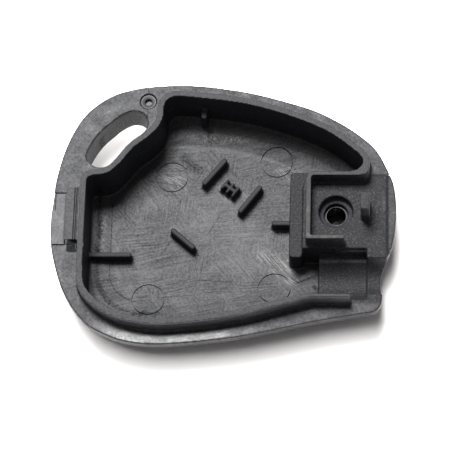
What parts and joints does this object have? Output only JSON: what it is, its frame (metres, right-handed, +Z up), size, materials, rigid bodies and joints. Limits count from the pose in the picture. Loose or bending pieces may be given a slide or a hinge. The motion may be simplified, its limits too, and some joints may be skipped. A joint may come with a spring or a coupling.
{
  "type": "car key shell half",
  "caption": "Back half of a plastic car key fob case, open side up, with board lip, blade seat, emitter channel and key-ring hole.",
  "frame": {"origin": "on the resting plane under the middle of the shell", "axes": "+X towards the blade end, +Y towards the side of the key-ring hole, +Z up out of the open side"},
  "size_m": [0.0548, 0.0447, 0.0115],
  "materials": {
    "case_plastic": "black injection-moulded plastic, satin outside, eroded grain on the blade seat, machining marks on the floor",
    "latch_plastic": "black plastic with a fine grain",
    "bush_metal": "turned steel, worn bright at its rim",
    "ferrule_plastic": "black plastic"
  },
  "bodies": {
    "root": {"case_half": "case_plastic", "latch_insert": "latch_plastic", "screw_bush": "bush_metal", "locating_ferrule": "ferrule_plastic"}
  },
  "joints": []
}
